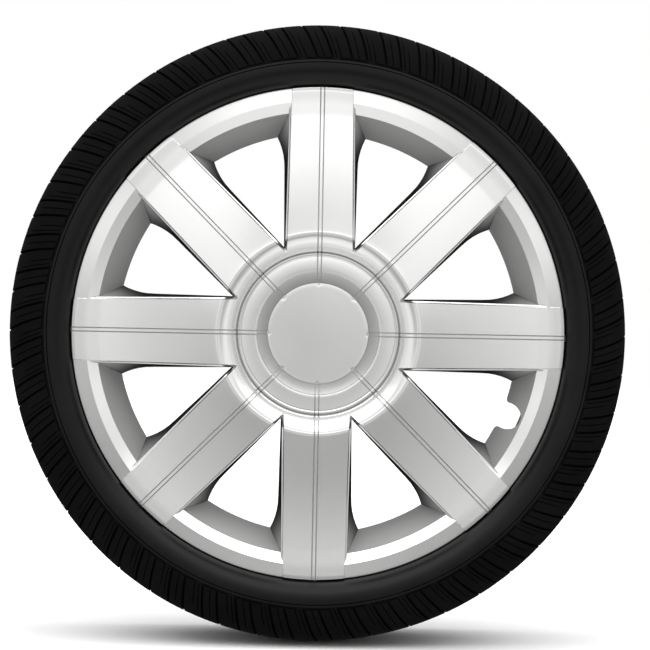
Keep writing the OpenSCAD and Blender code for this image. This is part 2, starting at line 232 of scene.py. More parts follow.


# %% [markdown]
# The cover is sprayed with silver lacquer: fine aluminium flakes under a clear coat. A number
# stored on the mesh at the corners of faces holds painted shade: where it is low, the silver
# turns towards black, in the grooves, the well and the deep walls and panels of the windows,
# where shade falls, and a little on the bevels. It partly also stands for the thin spray that
# reaches those deep walls. It isn't worked out from the depth alone, and it may jump at an edge.
# A low number also makes the surface dull and less metallic, as a thin, dry coat is. One number
# therefore drives the colour, the roughness and the metal.

# %% Silver lacquer for the cover and its disc
def silver_lacquer(name, tone, with_painted_shade):
    f = Finish(name)
    flake = f.noise(2600, detail=1.0)
    cloud = f.noise(9, detail=2.0)
    light = tuple(tone * c for c in (1.0, 0.996, 0.985))
    shade = tuple(0.955 * c for c in light)
    silver = f.mix(f.spread(cloud, 0, 1, 0.35, 0.65), shade, light)
    silver = f.mix(f.spread(flake, 0, 0.07, 0.45, 0.7), silver, (0.95, 0.95, 0.95))
    gloss = f.spread(cloud, 0.15, 0.19, 0.3, 0.7)
    if with_painted_shade:
        # The mesh's number is painted shade, partly thin coat: low values blacken the silver.
        shade_and_coat = f.node("ShaderNodeAttribute", attribute_name="coat_and_shade").outputs["Fac"]
        dull = f.node("ShaderNodeMath", operation="ADD")
        f.link(gloss, dull.inputs[0])
        f.link(f.spread(shade_and_coat, 0.45, 0.0, 0.5, 0.85), dull.inputs[1])
        silver = f.mix(shade_and_coat, (0.002, 0.002, 0.002), silver)
        gloss = dull.outputs[0]
        f.link(f.spread(shade_and_coat, 0.4, 0.92, 0.4, 0.8), f.shader.inputs["Metallic"])
        f.link(f.spread(shade_and_coat, 0.0, 0.3, 0.5, 0.95), f.shader.inputs["Coat Weight"])
    else:
        f.set(Metallic=0.92, Coat_Weight=0.3)
    f.link(silver, f.shader.inputs["Base Color"])
    f.link(gloss, f.shader.inputs["Roughness"])
    f.set(Coat_Roughness=0.06)
    f.bump(flake, 0.003, 0.0002)
    return f.material


face_lacquer = silver_lacquer("silver_lacquer", 0.80, True)
disc_lacquer = silver_lacquer("disc_lacquer", 0.72, False)
print("lacquers:", face_lacquer.name, disc_lacquer.name)

# %% [markdown]
# The back of the moulding isn't sprayed. It is the bare plastic, with the fine spark-eroded
# grain that its mould leaves.

# %% Bare moulded plastic
def moulded_plastic(name, colour, grain, rough):
    f = Finish(name)
    fine = f.noise(grain, detail=4.0)
    cloud = f.noise(14, detail=2.0)
    dark = tuple(0.8 * c for c in colour)
    f.link(f.mix(f.spread(cloud, 0, 1, 0.3, 0.7), dark, colour), f.shader.inputs["Base Color"])
    f.link(f.spread(fine, rough - 0.06, rough + 0.08), f.shader.inputs["Roughness"])
    f.set(Specular_IOR_Level=0.45)
    f.bump(fine, 0.25, 0.0003)
    return f.material


bare_moulding = moulded_plastic("bare_moulding", (0.2, 0.2, 0.205), 900, 0.55)
clip_nylon = moulded_plastic("black_nylon", (0.045, 0.045, 0.048), 1300, 0.42)
print("plastics:", bare_moulding.name, clip_nylon.name)

# %% [markdown]
# The side walls of the windows are seen almost edge on. Their colour is painted shade: the
# same number as the lacquer's turns them from grey to almost black with depth and towards the
# hub, partly also for the little, dull spray that lands there. They are matt, and mirror nothing
# at a low angle.

# %% Dull side walls of the windows
def window_wall_finish():
    f = Finish("window_wall")
    shade_and_coat = f.node("ShaderNodeAttribute", attribute_name="coat_and_shade").outputs["Fac"]
    dust = f.noise(1500, detail=3.0)
    grey = f.mix(dust, (0.2, 0.2, 0.2), (0.27, 0.27, 0.268))
    # Painted shade: the mesh's number mixes the walls from grey to almost black.
    f.link(f.mix(shade_and_coat, (0.007, 0.007, 0.007), grey), f.shader.inputs["Base Color"])
    f.link(f.spread(dust, 0.74, 0.86), f.shader.inputs["Roughness"])
    f.set(IOR=1.12, Specular_IOR_Level=0.3)
    f.bump(dust, 0.1, 0.0002)
    return f.material


window_wall = window_wall_finish()
print("walls:", window_wall.name)

# %% [markdown]
# The tyre is black rubber. A new sidewall has a satin sheen from its mould, with faint rings
# from machining. The tread is duller.

# %% Tyre rubber
def rubber(name, colour, rough, gloss, grain, rings=False):
    f = Finish(name)
    fine = f.noise(grain, detail=5.0, rough=0.6)
    cloud = f.noise(22, detail=3.0)
    pale = tuple(1.5 * c for c in colour)
    f.link(f.mix(f.spread(cloud, 0, 1, 0.35, 0.75), colour, pale), f.shader.inputs["Base Color"])
    f.link(f.spread(cloud, rough - 0.05, rough + 0.07, 0.3, 0.7), f.shader.inputs["Roughness"])
    f.set(IOR=1.2, Specular_IOR_Level=gloss)
    grain_bump = f.bump(fine, 0.18, 0.0004)
    if rings:
        split = f.node("ShaderNodeSeparateXYZ")
        f.link(f.place, split.inputs[0])
        flat = f.node("ShaderNodeCombineXYZ")
        f.link(split.outputs["X"], flat.inputs["X"])
        f.link(split.outputs["Z"], flat.inputs["Y"])
        radius = f.node("ShaderNodeVectorMath", operation="LENGTH")
        f.link(flat.outputs[0], radius.inputs[0])
        wave = f.node("ShaderNodeMath", operation="SINE")
        scaled = f.node("ShaderNodeMath", operation="MULTIPLY")
        scaled.inputs[1].default_value = 5200
        f.link(radius.outputs["Value"], scaled.inputs[0])
        f.link(scaled.outputs[0], wave.inputs[0])
        f.bump(wave.outputs[0], 0.05, 0.0002, under=grain_bump)
    return f.material


tread_rubber = rubber("tread_finish", (0.0032, 0.0032, 0.0033), 0.66, 0.05, 700)
sidewall_rubber = rubber("sidewall_finish", (0.0024, 0.0025, 0.0028), 0.34, 0.8, 1100, rings=True)
liner_rubber = rubber("liner_finish", (0.016, 0.016, 0.016), 0.6, 0.6, 380)
print("rubbers:", tread_rubber.name, sidewall_rubber.name, liner_rubber.name)

# %% [markdown]
# The wire ring is bright spring steel, drawn through a die, so its scratches run along the wire.
# The sleeve over its ends is pressed steel with a zinc finish, and shows faint crystals.

# %% Steel
def drawn_steel(name, tone, rough, scale):
    f = Finish(name)
    spots = f.noise(scale, detail=4.0, rough=0.7)
    cells = f.node("ShaderNodeTexVoronoi")
    cells.inputs["Scale"].default_value = scale * 0.6
    f.link(f.place, cells.inputs["Vector"])
    bright = (tone, tone * 0.995, tone * 0.985)
    dull = tuple(0.72 * c for c in bright)
    f.link(f.mix(cells.outputs["Distance"], bright, dull), f.shader.inputs["Base Color"])
    f.link(f.spread(spots, rough - 0.07, rough + 0.12, 0.3, 0.7), f.shader.inputs["Roughness"])
    f.set(Metallic=1.0)
    f.bump(spots, 0.08, 0.0002)
    return f.material


spring_steel = drawn_steel("spring_steel", 0.56, 0.26, 700)
sleeve_steel = drawn_steel("zinc_steel", 0.42, 0.36, 350)
bead_steel = drawn_steel("bead_steel", 0.4, 0.3, 500)
ply_cord = moulded_plastic("rubbered_cord", (0.42, 0.38, 0.3), 700, 0.6)
print("metals:", spring_steel.name, sleeve_steel.name, bead_steel.name)

# %% [markdown]
# ## The cover's face
#
# The face repeats eight times round the hub, and each eighth is the same on both sides of its
# middle line. So only one half of a spoke is described: from the middle of a spoke to the middle
# of the next window. It is laid, mirrored, and turned into its eight places.
#
# The face rises from the well in the middle over a cone, a nearly flat ring, a pair of fine ring
# grooves and a cove to the crest, and then falls along the spoke to its edge. `PROFILE` lists
# this line as radius and height.

# %% The line from the well to the edge
CREST_R, CREST_H, CREST_ROUND = 87.4, 18.4, 11.0
CREASE_R, CREASE_H, EDGE_R, EDGE_H = 189.7, 6.6, 214.0, 6.0


def spoke_height(r):
    if r >= CREASE_R:
        return CREASE_H + (EDGE_H - CREASE_H) * (r - CREASE_R) / (EDGE_R - CREASE_R)
    k = (CREASE_R - r) / (CREASE_R - CREST_R)
    swell = 0.17 * max(0.0, 1 - (r - 89.3) / 20) if r > 89.3 else 0.17
    return CREASE_H + (CREST_H - CREASE_H) * (0.45 * k + 0.55 * k * k) + swell


def hub_ring(r):
    return (r, 6.9 - 0.0029 * (r - 54.0) ** 2)


PROFILE = [(30.0, -11.5), (44.6, -11.5), (44.6, -9.0), (44.9, -8.5), (52.3, 5.0), (52.9, 6.1),
           (53.6, 6.75), *[hub_ring(r) for r in (54.6, 57.0, 60.0, 63.0, 65.6, 66.6)],
           (66.9, 6.0), (67.3, 5.95), (67.9, 6.35), (68.6, 6.5), (69.5, 6.4), (69.9, 6.1),
           (70.5, 4.9), (71.1, 6.3), (71.7, 7.1), (73.6, 9.1), (75.68, 11.28)]
for r in (75.82, 76.15, 76.8, 78.0, 79.62):
    PROFILE.append((r, 11.28 + (r - 75.68) * 0.99))
for a in (38, 30, 22, 14, 6, -2, -9.8):
    turn = math.radians(a)
    PROFILE.append((CREST_R - CREST_ROUND * math.sin(turn),
                    CREST_H - CREST_ROUND + CREST_ROUND * math.cos(turn)))
for r in (93, 97, 102, 108, 115, 122, 130, 138, 146, 154, 160, 166, 172, 177.5, 181, 184.5,
          187.6, 189.2, 190.2, 193, 195, 197, 198.4, 199.8, 201.2, 202, 203, 206.5, 210, 213.4):
    PROFILE.append((r, spoke_height(r)))
PROFILE += [(213.85, EDGE_H - 0.15), (214.0, EDGE_H - 0.6), (214.0, 0.0)]
WELL = next(i for i, (r, h) in enumerate(PROFILE) if h == -9.0)
TIP = next(i for i, (r, h) in enumerate(PROFILE) if r > 75.6)
CORNER = next(i for i, (r, h) in enumerate(PROFILE) if r == 177.5)
BAND = next(i for i, (r, h) in enumerate(PROFILE) if r == 193)
LAST = len(PROFILE) - 1
print("the profile has", len(PROFILE), "points; the window starts at point", TIP)

# %% [markdown]
# A window is a V between two spokes. Seen from its own middle line, with `v` out along that line
# and `u` sideways, an edge of the V is a straight line whose tip is rounded. A hyperbola does
# both at once. Three such lines matter: where the face ends, where the bright bevel ends and the
# wall starts, and the bottom of the wall.

# %% The lines of a window
SIDE = 0.43          # how far a window's side moves out sideways for each step along it


def v_line(start, rounding, u, side=SIDE):
    return start + math.hypot(u / side, rounding)


def at_radius(radius, start, rounding):
    low, high = 0.0, 90.0
    for _ in range(50):
        u = (low + high) / 2
        if math.hypot(u, v_line(start, rounding, u)) < radius:
            low = u
        else:
            high = u
    return low


def flat_point(u, v):
    c, s = math.cos(HALF_STEP), math.sin(HALF_STEP)
    return (v * c + u * s, v * s - u * c)


def to_polar(u, v):
    x, y = flat_point(u, v)
    return math.hypot(x, y), math.atan2(y, x)


def ease(x):
    x = min(max(x, 0.0), 1.0)
    return x * x * (3 - 2 * x)


def face_edge(i):
    u = at_radius(PROFILE[i][0], 73.68, 2.0)
    return u, v_line(73.68, 2.0, u)


def bevel_edge(i):
    r = PROFILE[i][0]
    u, v = face_edge(i)
    near = u * u / (u + 1.7)
    far = at_radius(max(r, 80.0), 78.35, 1.15)
    u2 = near + (far - near) * ease((r - 92) / 20)
    v2 = v_line(78.35, 1.15, u2)
    thin = 0.72 * ease((r - 196.5) / 4.5)
    return u2 + (u - u2) * thin, v2 + (v - v2) * thin


print("half width of a spoke at its middle:", round(flat_point(*face_edge(CORNER - 6))[1], 2), "mm")

# %% [markdown]
# Outside the window lies a low band, a gentle chamfer, and a steep panel that falls to the
# opening. The opening's outline runs along the wall, turns in through an arc, and closes along a
# circle. One window also has a round notch, where the tyre's valve passes.

# %% The opening and its notch
OPEN_R, OPEN_H, CHAMFER_R, CHAMFER_H = 175.7, -25.0, 193.0, 1.2
BAND_R, BAND_IN_H, BAND_OUT_H = 202.0, 6.0, 3.4
ARC_R, ARC_U, ARC_V = 57.0, -26.98, 168.03
CORNER_V = 173.2
COLS = 16


def panel_height(r):
    return OPEN_H + (CHAMFER_H - OPEN_H) * (r - OPEN_R) / (CHAMFER_R - OPEN_R)


def band_height(r):
    if r < BAND_R:
        return CHAMFER_H + (BAND_IN_H - CHAMFER_H) * (r - CHAMFER_R) / (BAND_R - CHAMFER_R)
    return BAND_IN_H - (BAND_IN_H - BAND_OUT_H) * (r - BAND_R) / (EDGE_R - BAND_R)


def opening_side(v):
    if v <= 147:
        return 0.397 * max(v - 81.5, 0)
    return ARC_U + math.sqrt(ARC_R ** 2 - (v - ARC_V) ** 2)


corner_r, corner_a = to_polar(opening_side(CORNER_V), CORNER_V)


def opening_edge(notched):
    if not notched:
        return [(OPEN_R, corner_a + (HALF_STEP - corner_a) * j / COLS) for j in range(COLS + 1)]
    arc = [(OPEN_R * math.sin(math.radians(a)), OPEN_R * math.cos(math.radians(a)))
           for a in (9.76, 8.6, 7.4, 6.3, 5.4)]
    root = [(14.2, 175.25), (12.8, 175.75), (11.8, 176.6), (11.3, 177.8), (11.4, 179.0)]
    bow = [(11.5 * math.cos(math.radians(a)), 180.3 + 11.5 * math.sin(math.radians(a)))
           for a in (0, 15, 30, 45, 60, 75, 90)]
    return [to_polar(u, v) for u, v in arc + root + bow]


print("the opening's corner is at radius", round(corner_r, 2), "mm")

# %% [markdown]
# Now the patches of the half spoke. The face carries the fine channel down the middle of each
# spoke: a shallow strip between two thin lines. The bevel starts with a tiny step, which reads
# as a thin grey line beside the bright edge.

# %% Face, bevel, wall, panel and band of half a spoke
CHANNEL = [(0.0, -0.15), (1.1, -0.15), (1.35, -1.3), (1.7, -1.3), (2.15, 0.0)]
ACROSS = (0.12, 0.3, 0.5, 0.7, 0.86, 0.96, 1.0)
WALL = (0.0, 0.05, 0.2, 0.6, 1.0)
STEP = 0.28          # share of the bevel's width that its first small step takes
BEVEL_DROP = 1.7     # the bevel's foot below the face


def side_angle(i):
    return to_polar(*face_edge(i))[1] if i >= TIP else HALF_STEP


def face_place(i, j):
    r, h = PROFILE[i]
    if j < len(CHANNEL):
        y, sink = CHANNEL[j]
        grooved = 45 < r and i < LAST - 1
        return polar(r, math.asin(y / r), h + (sink if grooved else 0))
    start = math.asin(CHANNEL[-1][0] / r)
    return polar(r, start + (side_angle(i) - start) * ACROSS[j - len(CHANNEL)], h)


def surface_beside(i):
    r = PROFILE[i][0]
    if i >= LAST - 1:
        return PROFILE[i][1] if i == LAST else BAND_OUT_H - 0.6
    return band_height(r)


def bevel_place(i, j):
    ru, rv = face_edge(i)
    u, v = bevel_edge(i)
    h = PROFILE[i][1]
    r = PROFILE[i][0]
    drop = min(0.75, h - surface_beside(i)) if r > 193 else 0.75
    low = h - BEVEL_DROP
    if r > 197:
        low = low + (surface_beside(i) - low) * ease((r - 197) / 3.6)
    if i == LAST:
        low, drop = 0.0, 0.0
    share, height = ((0.0, h), (STEP, h - drop if i < LAST else 0.0), (1.0, low))[j]
    x, y = flat_point(ru + (u - ru) * share, rv + (v - rv) * share)
    return upright(x, y, height)


# %% [markdown]
# Below the bevel the wall runs down to the opening's edge. A short lip carries on straight down
# from there, so that the edge isn't seen from the front. Each place is found between a
# point on the bevel and a point on the opening's outline. Sweeping one wall shape round the
# window would be shorter, but the wall leans more at the window's tip than at its sides.

# %% Wall, panel, lip and band
LIP = 1.8            # how far the edge of the opening is turned down


def wall_foot(i):
    """Radius, angle and height of the foot of the wall beside point i of the profile."""
    u, v = bevel_edge(i)
    if i <= CORNER:
        last_v = bevel_edge(CORNER)[1]
        along = 81.5 + (v - 79.5) * (CORNER_V - 81.5) / (last_v - 79.5)
        return (*to_polar(opening_side(along), along), OPEN_H)
    if i < BAND:
        share = (PROFILE[i][0] - PROFILE[CORNER][0]) / (CHAMFER_R - PROFILE[CORNER][0])
        end_r, end_a = to_polar(*bevel_edge(BAND))
        r = corner_r + (end_r - corner_r) * share
        return r, corner_a + (end_a - corner_a) * share, panel_height(r)
    return (*to_polar(u, v), surface_beside(i))


def wall_place(i, j):
    top = bevel_place(i, 2)
    return top.lerp(polar(*wall_foot(i)), WALL[j])


def panel_at(i, j, edge):
    share = (PROFILE[i][0] - PROFILE[CORNER][0]) / (CHAMFER_R - PROFILE[CORNER][0])
    end_r, end_a = to_polar(*bevel_edge(BAND))
    end_a = end_a + (HALF_STEP - end_a) * j / COLS
    r = edge[j][0] + (CHAMFER_R - edge[j][0]) * share if j else wall_foot(i)[0]
    a = edge[j][1] + (end_a - edge[j][1]) * share
    return r, a, panel_height(r)


def panel_place(i, j, edge):
    return polar(*panel_at(i, j, edge))


def lip(place, down):
    r, a, h = place
    return polar(r, a, h - LIP * down)


def band_place(i, j):
    r, a, h = wall_foot(i)
    r = r + (PROFILE[i][0] - r) * min(1, j * 4 / COLS)
    return polar(r, a + (HALF_STEP - a) * j / COLS, h)


# %% [markdown]
# Each patch gets its own rule for the number that darkens its lacquer, which is mostly painted
# shade. The face is full silver, a little darker in the grooves, at the hub's rings and near its
# edge, and the well darker still; the panels darken towards the opening; the walls go nearly
# black with depth and towards the hub, partly also because the spray comes in at a slant there.
# The bevels are dimmed a little.

# %% How dark each surface is painted: painted shade, partly thin lacquer
# Stores the painted shade, partly thin coat, at each corner of a face.
def paint_coat_and_shade(layer, corners, amount):
    for face in {f for v in corners for f in v.link_faces}:
        for loop in face.loops:
            x, depth, y = loop.vert.co / MM
            loop[layer] = amount(math.hypot(x, y), y, -depth - SEAT, face)


# The bevels are dimmed with painted shade.
FULL_COAT, BEVEL_SHADED_COAT = 1.0, 0.84


def flat_coat_and_shade(amount):
    return lambda r, y, h, face: amount


# Painted shade in the grooves, at the hub's rings and towards the edge.
def face_coat_and_shade(r, y, h, face):
    middle = face.calc_center_median().z / MM
    if 1.2 < middle < 2.0:
        return 0.66 if r > 75 else 0.74
    return 0.9 - 0.08 * ease((r - 66) / 3) + 0.18 * ease((r - 71) / 3) - 0.13 * ease((r - 198) / 9)


# Painted shade in the well.
def well_painted_shade(r, y, h, face):
    return 0.44 + 0.22 * ease((r - 48) / 5)


# Painted shade: black with depth and towards the hub; also gives the walls their own finish.
def wall_coat_and_shade(r, y, h, face):
    face.material_index = 2
    return ease((r - 150) / 40) * (0.3 + 0.7 * ease((h + 25) / 26))


# Painted shade: darker towards the opening.
def panel_coat_and_shade(r, y, h, face):
    return 0.46 + 0.14 * ease((r - 176) / 17)


# %% [markdown]
# The patches are now laid beside each other in one mesh. They share their rows of corners, so
# nothing has to be stitched: merging the doubles is enough.

# %% Half a spoke
def half_spoke(notched):
    bm = bmesh.new()
    # This layer holds the painted shade, partly thin coat.
    coat_and_shade = bm.loops.layers.float.new("coat_and_shade")
    edge = opening_edge(notched)
    across = len(CHANNEL) + len(ACROSS) - 1
    for start, end, rule in ((0, WELL, face_coat_and_shade), (WELL, WELL + 3, well_painted_shade),
                             (WELL + 3, LAST, face_coat_and_shade)):
        corners = patch(bm, end - start, across, lambda i, j: face_place(i + start, j))
        paint_coat_and_shade(coat_and_shade, corners, rule)
    for rows, cols, place, rule in (
            (LAST - TIP, 2, lambda i, j: bevel_place(i + TIP, j), flat_coat_and_shade(BEVEL_SHADED_COAT)),
            (LAST - TIP - 2, len(WALL) - 1, lambda i, j: wall_place(i + TIP, j), wall_coat_and_shade),
            (CORNER - TIP, 1, lambda i, j: lip(wall_foot(i + TIP), j), wall_coat_and_shade),
            (BAND - CORNER, COLS, lambda i, j: panel_place(i + CORNER, j, edge), panel_coat_and_shade),
            (1, COLS, lambda i, j: lip(panel_at(CORNER, j, edge), i), wall_coat_and_shade),
            (LAST - BAND, COLS, lambda i, j: band_place(i + BAND, j), flat_coat_and_shade(FULL_COAT))):
        paint_coat_and_shade(coat_and_shade, patch(bm, rows, cols, place), rule)
    return bm


half = half_spoke(False)
print("half a spoke has", len(half.faces), "faces before welding")
half.free()

# %% [markdown]
# The half is mirrored and turned into place eight times. The spoke pair beside the valve uses
# the notched half. The patches are then welded into one sheet, and a Solidify modifier gives the
# sheet the moulding's wall, with the bare plastic on its back.

# %% Weld sixteen halves into the cover's skin
def add_half(target, notched, mirrored, turn):
    part = half_spoke(notched)
    if mirrored:
        bmesh.ops.scale(part, vec=(1, 1, -1), verts=part.verts)
        bmesh.ops.reverse_faces(part, faces=part.faces)
    bmesh.ops.rotate(part, cent=(0, 0, 0), matrix=Matrix.Rotation(-turn, 3, "Y"), verts=part.verts)
    loose = bpy.data.meshes.new("half")
    part.to_mesh(loose)
    part.free()
    target.from_mesh(loose)
    bpy.data.meshes.remove(loose)


skin = bmesh.new()
for k in range(SPOKES):
    add_half(skin, k == SPOKES - 1, False, k * TURN / SPOKES)
    add_half(skin, k == 0, True, k * TURN / SPOKES)
weld(skin)
skin.faces.ensure_lookup_table()
crest = min(skin.faces, key=lambda f: f.calc_center_median().y)
if crest.normal.y > 0:
    bmesh.ops.reverse_faces(skin, faces=skin.faces)
print("open edges of the sheet:", sum(e.is_boundary for e in skin.edges))

# %% [markdown]
# On the back, each clip hangs between two lugs and the wire ring snaps between two posts. They
# are bevelled blocks on the real moulding too, so a cube with a bevel is the honest shape.

# %% Lugs and posts behind the face
WALL_THICKNESS = 2.2
LUGS = ((194.7, 201.7, 10.4, 13.2, -6.9, 4.4), (190.6, 197.8, 16.4, 21.4, -18.4, 4.6))


def add_block(bm, x0, x1, y0, y1, h0, h1, turn):
    made = bmesh.ops.create_cube(bm, size=1)["verts"]
    bmesh.ops.scale(bm, vec=((x1 - x0) * MM, (h1 - h0) * MM, (y1 - y0) * MM), verts=made)
    bmesh.ops.translate(bm, vec=upright((x0 + x1) / 2, (y0 + y1) / 2, (h0 + h1) / 2), verts=made)
    edges = list({e for v in made for e in v.link_edges})
    rounded = bmesh.ops.bevel(bm, geom=edges, offset=0.5 * MM, segments=2, profile=0.5,
                              affect="EDGES", material=-1)["verts"]
    corners = list({v for v in rounded if v.is_valid} | {v for v in made if v.is_valid})
    bmesh.ops.rotate(bm, cent=(0, 0, 0), matrix=Matrix.Rotation(-turn, 3, "Y"), verts=corners)


blocks = bmesh.new()
for k in range(SPOKES):
    for x0, x1, y0, y1, h0, h1 in LUGS:
        add_block(blocks, x0, x1, y0, y1, h0, h1, k * TURN / SPOKES)
        add_block(blocks, x0, x1, -y1, -y0, h0, h1, k * TURN / SPOKES)
bmesh.ops.recalc_face_normals(blocks, faces=blocks.faces)
finish_piece(blocks, "clip_mounts", "cover", [bare_moulding])
cover_face = finish_piece(skin, "cover_face", "cover",
                          [face_lacquer, bare_moulding, window_wall, bare_moulding], crisp=24)
wall = cover_face.modifiers.new("wall", "SOLIDIFY")
wall.thickness = WALL_THICKNESS * MM
wall.offset = -1
wall.use_quality_normals = True
wall.material_offset = 1
wall.material_offset_rim = 1
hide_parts("face_shell")

# %% [markdown]
# ## The disc in the middle
#
# The centre cap snaps into the well. The CAD piece has its fingers and its edge. Its front gets
# a thin lacquered skin with the slight dome and the eight small notches of the real one.

# %% Lacquered skin of the centre cap
cap_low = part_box("centre_cap")[0]
CAP_FRONT = -cap_low.y / MM - SEAT
DISC = [(0.0, 0.75), (12.0, 0.7), (24.0, 0.53), (33.0, 0.33), (40.0, 0.14), (43.4, 0.03),
        (44.3, -0.05), (44.6, -0.3), (44.5, -0.6), (44.2, -1.2), (43.0, -1.2)]
NOTCH = (0.0, 0.9, 1.1, 1.5)          # across the notch, from its middle to its edge


def disc_place(i, j):
    r, h = DISC[i]
    angle = math.asin(NOTCH[min(j, 3)] / 44)
    angle = angle + (HALF_STEP - angle) * max(j - 3, 0) / 5
    if j <= 2 and r > 43:
        r = 42.9 + (r - 43) * 0.2
    return polar(r, angle, CAP_FRONT + 0.05 + h)


disc = bmesh.new()
for k in range(SPOKES):
    for mirrored in (1, -1):
        corners = patch(disc, len(DISC) - 1, 8, disc_place)
        bmesh.ops.scale(disc, vec=(1, 1, mirrored), verts=corners)
        bmesh.ops.rotate(disc, cent=(0, 0, 0), matrix=Matrix.Rotation(-k * TURN / SPOKES, 3, "Y"),
                         verts=corners)
weld(disc)
back = [e for e in disc.edges if e.is_boundary]
bmesh.ops.contextual_create(disc, geom=back)
bmesh.ops.recalc_face_normals(disc, faces=disc.faces)
finish_piece(disc, "cap_skin", "cap", [disc_lacquer], crisp=40)

# %% [markdown]
# ## The tyre
#
# The tyre's section is one smooth line from the crown over the shoulder to the bead. `t` runs
# along it: 0 at the crown, 1 at the widest place and 2 at the bead's toe.

# %% The tyre's section
WIDE_R, TYRE_R, HALF_W, SHOULDER = 230.178, 273.0, 95.0, 0.62
BEAD_FACE, RUBBER_R, SEAT_R, CROWN_T = 76.2, 214.6, 202.8, 13.5
UNDER_T = 3.0


def outer(t):
    if t <= 1:
        a = math.radians(90 * t)
        return Vector((WIDE_R + (TYRE_R - WIDE_R) * math.cos(a), HALF_W * math.sin(a) ** SHOULDER))
    if t <= 1.6:
        a = math.radians(90 * (t - 1) / 0.6)
        return Vector((WIDE_R - (WIDE_R - RUBBER_R) * math.sin(a),
                       BEAD_FACE + (HALF_W - BEAD_FACE) * math.cos(a)))
    k = (t - 1.6) / 0.25
    return Vector((RUBBER_R - (RUBBER_R - SEAT_R - 1.5) * k, BEAD_FACE))


def inner(t):
    if t <= 1:
        a = math.radians(90 * t)
        return Vector((WIDE_R + (TYRE_R - CROWN_T - WIDE_R) * math.cos(a),
                       (HALF_W - 7) * math.sin(a) ** SHOULDER))
    toe, side = BEAD_FACE - 17, HALF_W - 7
    return Vector((WIDE_R - (WIDE_R - SEAT_R) * (t - 1),
                   toe + (side - toe) * math.cos(math.radians(90 * (t - 1))) ** 2))


def layer(t, depth):
    low, high = inner(t), outer(t)
    return low + (high - low) * depth / (high - low).length


def crown_radius(z):
    return WIDE_R + (TYRE_R - WIDE_R) * math.sqrt(1 - (abs(z) / HALF_W) ** (2 / SHOULDER))


def wheel_point(radius, angle, z):
    return Vector((radius * math.cos(angle), -z, radius * math.sin(angle))) * MM


print("the tread starts at radius", round(outer(0.9).x, 1), "mm")

# %% [markdown]
# The pattern repeats fifty times. One pitch is a grid: its rows run over the tread from the
# front shoulder to the rear one, and its columns run along it. Corners that lie in a groove are
# sunk. Columns stand in pairs at each groove's edge, so the walls of the grooves are steep.
#
# In one pitch two wide grooves cross the shoulder. A fine line runs round the inner end of the
# block and up its first side, and a sipe parts the block.

# %% One pitch of the tread
PITCHES = 50
PITCH = TURN / PITCHES
COLUMNS = (0.0, 0.008, 0.03, 0.038, 0.16, 0.292, 0.304, 0.352, 0.364, 0.52, 0.53, 0.545, 0.555,
           0.728, 0.74, 0.79, 0.802, 0.87, 0.878, 0.892, 0.9)
WIDE_COLUMNS, FINE_COLUMNS, SIPE_COLUMNS = (6, 7, 14, 15), (1, 2), (10, 11, 18, 19)
OUTLINE_END = 15
SHOULDER_T = (0.9, 0.889, 0.885, 0.869, 0.865, 0.84, 0.8, 0.75, 0.7, 0.65, 0.6, 0.53, 0.46,
              0.38, 0.31)
RIB_Z = (53, 44.6, 44.2, 36.8, 36.4, 27, 17.6, 17.2, 9.8, 9.4)
GROOVE_Z = (44.2, 36.8, 17.2, 9.8)
ROWS = ([("t", t, 1) for t in SHOULDER_T] + [("z", z, 1) for z in RIB_Z] + [("z", 0.0, 1)]
        + [("z", z, -1) for z in reversed(RIB_Z)] + [("t", t, -1) for t in reversed(SHOULDER_T)])
UNDERSIDE = ((0.9, UNDER_T), (0.7, UNDER_T), (0.5, UNDER_T), (0.41, UNDER_T + 0.1), (0.37, 6.95),
             (0.2, 6.95), (0.0, 6.95))


print(len(ROWS), "rows over the tread, and", PITCHES, "pitches round it")

# %% [markdown]
# A groove isn't cut: the corners that lie in it are moved in. `sink` says how deep, from the row
# and the column alone. The shoulder's grooves also lean back as they run outward, so that a block
# meets the road gradually. Cutting with booleans would give the same look with ragged edges.

# %% How deep each corner lies
def slant(t):
    return 14 * (1 - (min(t, 0.86) / 0.86) ** 1.5) / 256


def row_t(z):
    return math.asin((abs(z) / HALF_W) ** (1 / SHOULDER)) / (math.pi / 2)


def sink(kind, value, j):
    if kind == "t":
        if 0.869 <= value <= 0.885:
            return 1.1 if 1 <= j <= OUTLINE_END else 0.0
        if value > 0.865:
            return 0.0
        if j in WIDE_COLUMNS:
            return 3.4 if value < 0.82 else 2.0
        if j in FINE_COLUMNS:
            return 1.1 if value > 0.56 else 0.0
        return 1.2 if j in SIPE_COLUMNS and 0.4 < value < 0.86 else 0.0
    if value in GROOVE_Z:
        return 6.0
    if j in WIDE_COLUMNS and value > 44:
        return 4.0
    return 2.5 if j in (6, 7) or (j in SIPE_COLUMNS and value < 44) else 0.0


def tread_place(i, j):
    f = 1.0 if j == len(COLUMNS) else COLUMNS[j]
    if i < len(ROWS):
        kind, value, face = ROWS[i]
        t = value if kind == "t" else row_t(value)
        if kind == "t":
            p = outer(t)
            toward = (Vector((236.0, 62.0)) - p).normalized()
        else:
            p = Vector((crown_radius(value), value))
            toward = Vector((-1.0, 0.0))
        p = p + toward * sink(kind, value, j % len(COLUMNS))
    else:
        back = list(UNDERSIDE) + [(t, d) for t, d in reversed(UNDERSIDE[:-1])]
        k = i - len(ROWS)
        t, depth = back[k] if k < len(back) else UNDERSIDE[0]
        face = -1 if k < len(UNDERSIDE) else 1
        if k >= len(back):
            return tread_place(0, j)
        p = layer(t, depth)
    return wheel_point(p.x, -f * PITCH + slant(t), p.y * face)


print("wide groove across the shoulder:", sink("t", 0.7, WIDE_COLUMNS[0]), "mm deep")

# %% [markdown]
# One pitch is made as a mesh, and its copies are turned into place. The doubles are then merged,
# so the tread is one closed ring.

